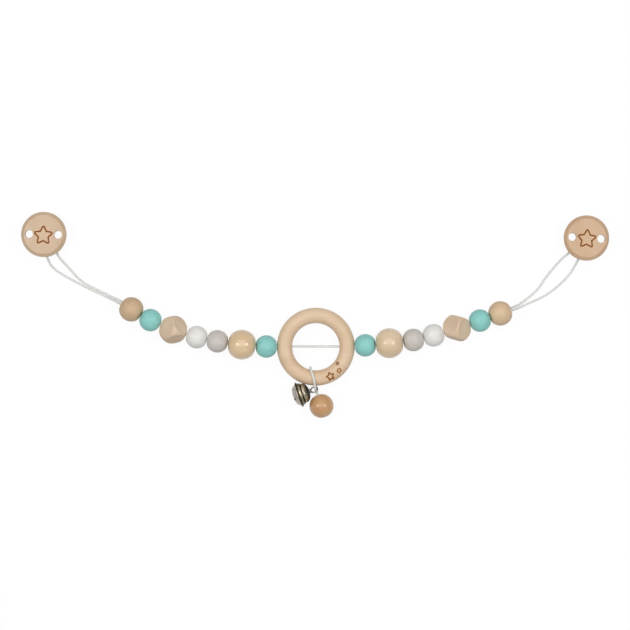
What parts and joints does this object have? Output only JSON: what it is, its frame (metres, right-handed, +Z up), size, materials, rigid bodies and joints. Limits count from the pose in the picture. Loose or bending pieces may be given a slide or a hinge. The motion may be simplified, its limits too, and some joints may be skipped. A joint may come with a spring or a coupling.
{
  "type": "pram chain toy",
  "caption": "Wooden bead pram chain on elastic cord, with a ring, a bell and bead pendant, and a round clip with a steel lever at each end.",
  "frame": {"origin": "middle of the underside of the object's box, on the table it lies on", "axes": "+X from the left clip to the right clip, +Y from the pendant towards the clips, +Z up from the table"},
  "size_m": [0.468, 0.1642, 0.0241],
  "materials": {
    "mint_wood": "water-based mint paint, satin",
    "grey_wood": "water-based warm grey paint, satin",
    "white_wood": "water-based white paint, satin",
    "large_wood": "pale wood, clear glossy finish",
    "facet_wood": "bare wood, satin",
    "end_wood": "bare wood, satin",
    "ring_wood": "pale wood, clear glossy finish",
    "disc_wood": "pale wood, satin, with a burnt star outline",
    "pendant_wood": "darker wood, clear glossy finish",
    "elastic": "round braided elastic, matt",
    "steel": "nickel-plated steel",
    "bell_metal": "dark nickel plating, bright",
    "insert_plastic": "milky plastic"
  },
  "bodies": {
    "core": {"cord_centre": "elastic"},
    "ring": {"ring": "ring_wood"},
    "right_link_1": {"right_cord_1": "elastic"},
    "right_bead_1": {"right_bead_1_mint": "mint_wood"},
    "right_link_2": {"right_cord_2": "elastic"},
    "right_bead_2": {"right_bead_2_large": "large_wood"},
    "right_link_3": {"right_cord_3": "elastic"},
    "right_bead_3": {"right_bead_3_grey": "grey_wood"},
    "right_link_4": {"right_cord_4": "elastic"},
    "right_bead_4": {"right_bead_4_white": "white_wood"},
    "right_link_5": {"right_cord_5": "elastic"},
    "right_bead_5": {"right_bead_5_facet": "facet_wood"},
    "right_link_6": {"right_cord_6": "elastic"},
    "right_bead_6": {"right_bead_6_mint": "mint_wood"},
    "right_link_7": {"right_cord_7": "elastic", "right_knot": "elastic"},
    "right_bead_7": {"right_bead_7_end": "end_wood"},
    "right_loop": {"right_loop": "elastic"},
    "right_clip": {"right_disc": "disc_wood", "right_plate": "steel", "right_pin": "steel", "right_screw_1": "steel", "right_screw_2": "steel"},
    "right_lever": {"right_lever": "steel", "right_insert": "insert_plastic"},
    "left_link_1": {"left_cord_1": "elastic"},
    "left_bead_1": {"left_bead_1_mint": "mint_wood"},
    "left_link_2": {"left_cord_2": "elastic"},
    "left_bead_2": {"left_bead_2_large": "large_wood"},
    "left_link_3": {"left_cord_3": "elastic"},
    "left_bead_3": {"left_bead_3_grey": "grey_wood"},
    "left_link_4": {"left_cord_4": "elastic"},
    "left_bead_4": {"left_bead_4_white": "white_wood"},
    "left_link_5": {"left_cord_5": "elastic"},
    "left_bead_5": {"left_bead_5_facet": "facet_wood"},
    "left_link_6": {"left_cord_6": "elastic"},
    "left_bead_6": {"left_bead_6_mint": "mint_wood"},
    "left_link_7": {"left_cord_7": "elastic", "left_knot": "elastic"},
    "left_bead_7": {"left_bead_7_end": "end_wood"},
    "left_loop": {"left_loop": "elastic"},
    "left_clip": {"left_disc": "disc_wood", "left_plate": "steel", "left_pin": "steel", "left_screw_1": "steel", "left_screw_2": "steel"},
    "left_lever": {"left_lever": "steel", "left_insert": "insert_plastic"},
    "pendant": {"pendant_loop": "elastic", "pendant_knot": "elastic"},
    "pendant_bead": {"pendant_bead": "pendant_wood"},
    "bell": {"bell_upper": "bell_metal", "bell_lower": "bell_metal", "bell_eye": "bell_metal"},
    "pellet": {"bell_pellet": "steel"}
  },
  "joints": [
    {"name": "ring_swivel", "type": "hinge", "parent": "core", "child": "ring", "pos_m": [0.00055, -0.02508, 0.009], "axis": [1, 0, 0], "continuous": true},
    {"name": "right_link_1_bend", "type": "hinge", "parent": "core", "child": "right_link_1", "pos_m": [0.03176, -0.02483, 0.009], "axis": [0, 0, 1], "range_deg": [-6, 1.5]},
    {"name": "right_bead_1_spin", "type": "hinge", "parent": "right_link_1", "child": "right_bead_1", "pos_m": [0.03994, -0.02422, 0.01037], "axis": [0.9835, 0.074, 0.165], "continuous": true},
    {"name": "right_link_2_bend", "type": "hinge", "parent": "right_link_1", "child": "right_link_2", "pos_m": [0.04813, -0.0236, 0.01175], "axis": [0, 0, 1], "range_deg": [-5, 5]},
    {"name": "right_bead_2_spin", "type": "hinge", "parent": "right_link_2", "child": "right_bead_2", "pos_m": [0.05914, -0.0225, 0.01202], "axis": [0.9948, 0.0993, 0.0244], "continuous": true},
    {"name": "right_link_3_bend", "type": "hinge", "parent": "right_link_2", "child": "right_link_3", "pos_m": [0.07015, -0.0214, 0.01229], "axis": [0, 0, 1], "range_deg": [-5, 5]},
    {"name": "right_bead_3_spin", "type": "hinge", "parent": "right_link_3", "child": "right_bead_3", "pos_m": [0.0783, -0.01995, 0.01148], "axis": [0.9798, 0.1745, -0.0976], "continuous": true},
    {"name": "right_link_4_bend", "type": "hinge", "parent": "right_link_3", "child": "right_link_4", "pos_m": [0.08645, -0.0185, 0.01066], "axis": [0, 0, 1], "range_deg": [-5, 5]},
    {"name": "right_bead_4_spin", "type": "hinge", "parent": "right_link_4", "child": "right_bead_4", "pos_m": [0.09446, -0.01623, 0.01058], "axis": [0.9622, 0.2723, -0.0105], "continuous": true},
    {"name": "right_link_5_bend", "type": "hinge", "parent": "right_link_4", "child": "right_link_5", "pos_m": [0.10246, -0.01397, 0.01049], "axis": [0, 0, 1], "range_deg": [-5, 5]},
    {"name": "right_bead_5_spin", "type": "hinge", "parent": "right_link_5", "child": "right_bead_5", "pos_m": [0.11296, -0.01051, 0.01146], "axis": [0.9464, 0.3111, 0.0872], "continuous": true},
    {"name": "right_link_6_bend", "type": "hinge", "parent": "right_link_5", "child": "right_link_6", "pos_m": [0.12346, -0.00706, 0.01242], "axis": [0, 0, 1], "range_deg": [-5, 5]},
    {"name": "right_bead_6_spin", "type": "hinge", "parent": "right_link_6", "child": "right_bead_6", "pos_m": [0.13132, -0.00448, 0.01157], "axis": [0.9449, 0.3107, -0.1028], "continuous": true},
    {"name": "right_link_7_bend", "type": "hinge", "parent": "right_link_6", "child": "right_link_7", "pos_m": [0.13919, -0.00189, 0.01071], "axis": [0, 0, 1], "range_deg": [-5, 5]},
    {"name": "right_bead_7_spin", "type": "hinge", "parent": "right_link_7", "child": "right_bead_7", "pos_m": [0.14766, 0.00128, 0.00978], "axis": [0.9317, 0.3484, -0.1028], "continuous": true},
    {"name": "right_loop_swing", "type": "hinge", "parent": "right_link_7", "child": "right_loop", "pos_m": [0.15595, 0.00438, 0.00886], "axis": [0, 0, 1], "range_deg": [-12, 12]},
    {"name": "right_clip_turn", "type": "hinge", "parent": "right_loop", "child": "right_clip", "pos_m": [0.21605, 0.06127, 0], "axis": [0, 0, 1], "range_deg": [-60, 2]},
    {"name": "right_lever_open", "type": "hinge", "parent": "right_clip", "child": "right_lever", "pos_m": [0.2166, 0.06975, 0.0047], "axis": [0.9979, -0.0645, 0], "range_deg": [0, 95]},
    {"name": "left_link_1_bend", "type": "hinge", "parent": "core", "child": "left_link_1", "pos_m": [-0.03055, -0.02533, 0.009], "axis": [0, 0, 1], "range_deg": [-5, 5]},
    {"name": "left_bead_1_spin", "type": "hinge", "parent": "left_link_1", "child": "left_bead_1", "pos_m": [-0.03891, -0.02514, 0.0104], "axis": [-0.986, 0.0224, 0.165], "continuous": true},
    {"name": "left_link_2_bend", "type": "hinge", "parent": "left_link_1", "child": "left_link_2", "pos_m": [-0.04726, -0.02495, 0.0118], "axis": [0, 0, 1], "range_deg": [-5, 5]},
    {"name": "left_bead_2_spin", "type": "hinge", "parent": "left_link_2", "child": "left_bead_2", "pos_m": [-0.05841, -0.02368, 0.01207], "axis": [-0.9933, 0.1132, 0.0244], "continuous": true},
    {"name": "left_link_3_bend", "type": "hinge", "parent": "left_link_2", "child": "left_link_3", "pos_m": [-0.06956, -0.02241, 0.01235], "axis": [0, 0, 1], "range_deg": [-5, 5]},
    {"name": "left_bead_3_spin", "type": "hinge", "parent": "left_link_3", "child": "left_bead_3", "pos_m": [-0.07788, -0.02103, 0.01152], "axis": [-0.9819, 0.1625, -0.0976], "continuous": true},
    {"name": "left_link_4_bend", "type": "hinge", "parent": "left_link_3", "child": "left_link_4", "pos_m": [-0.08621, -0.01965, 0.01069], "axis": [0, 0, 1], "range_deg": [-5, 5]},
    {"name": "left_bead_4_spin", "type": "hinge", "parent": "left_link_4", "child": "left_bead_4", "pos_m": [-0.09445, -0.01769, 0.0106], "axis": [-0.9727, 0.2317, -0.0105], "continuous": true},
    {"name": "left_link_5_bend", "type": "hinge", "parent": "left_link_4", "child": "left_link_5", "pos_m": [-0.10269, -0.01573, 0.01052], "axis": [0, 0, 1], "range_deg": [-5, 5]},
    {"name": "left_bead_5_spin", "type": "hinge", "parent": "left_link_5", "child": "left_bead_5", "pos_m": [-0.11318, -0.01177, 0.0115], "axis": [-0.9319, 0.3521, 0.0872], "continuous": true},
    {"name": "left_link_6_bend", "type": "hinge", "parent": "left_link_5", "child": "left_link_6", "pos_m": [-0.12366, -0.0078, 0.01248], "axis": [0, 0, 1], "range_deg": [-5, 5]},
    {"name": "left_bead_6_spin", "type": "hinge", "parent": "left_link_6", "child": "left_bead_6", "pos_m": [-0.13124, -0.00411, 0.0116], "axis": [-0.894, 0.436, -0.1028], "continuous": true},
    {"name": "left_link_7_bend", "type": "hinge", "parent": "left_link_6", "child": "left_link_7", "pos_m": [-0.13881, -0.00041, 0.01073], "axis": [0, 0, 1], "range_deg": [-5, 5]},
    {"name": "left_bead_7_spin", "type": "hinge", "parent": "left_link_7", "child": "left_bead_7", "pos_m": [-0.1466, 0.00449, 0.00978], "axis": [-0.8417, 0.5301, -0.1028], "continuous": true},
    {"name": "left_loop_swing", "type": "hinge", "parent": "left_link_7", "child": "left_loop", "pos_m": [-0.15409, 0.00921, 0.00887], "axis": [0, 0, 1], "range_deg": [-12, 12]},
    {"name": "left_clip_turn", "type": "hinge", "parent": "left_loop", "child": "left_clip", "pos_m": [-0.21605, 0.06407, 0], "axis": [0, 0, 1], "range_deg": [-12, 50]},
    {"name": "left_lever_open", "type": "hinge", "parent": "left_clip", "child": "left_lever", "pos_m": [-0.21581, 0.07257, 0.0047], "axis": [0.9996, -0.0279, 0], "range_deg": [0, 95]},
    {"name": "pendant_swing", "type": "hinge", "parent": "ring", "child": "pendant", "pos_m": [0.00055, -0.05033, 0.009], "axis": [1, 0, 0], "range_deg": [-14, 18]},
    {"name": "pendant_bead_spin", "type": "hinge", "parent": "pendant", "child": "pendant_bead", "pos_m": [0.00505, -0.07253, 0.00975], "axis": [-0.3371, 0.9415, 0], "continuous": true},
    {"name": "bell_swing", "type": "hinge", "parent": "pendant", "child": "bell", "pos_m": [0.0003, -0.05953, 0.0119], "axis": [-0.255, 0.9302, 0.2641], "range_deg": [0, 18]},
    {"name": "pellet_roll", "type": "hinge", "parent": "bell", "child": "pellet", "pos_m": [-0.01275, -0.06353, 0.0104], "axis": [0.946, 0.3165, 0.0698], "continuous": true}
  ]
}
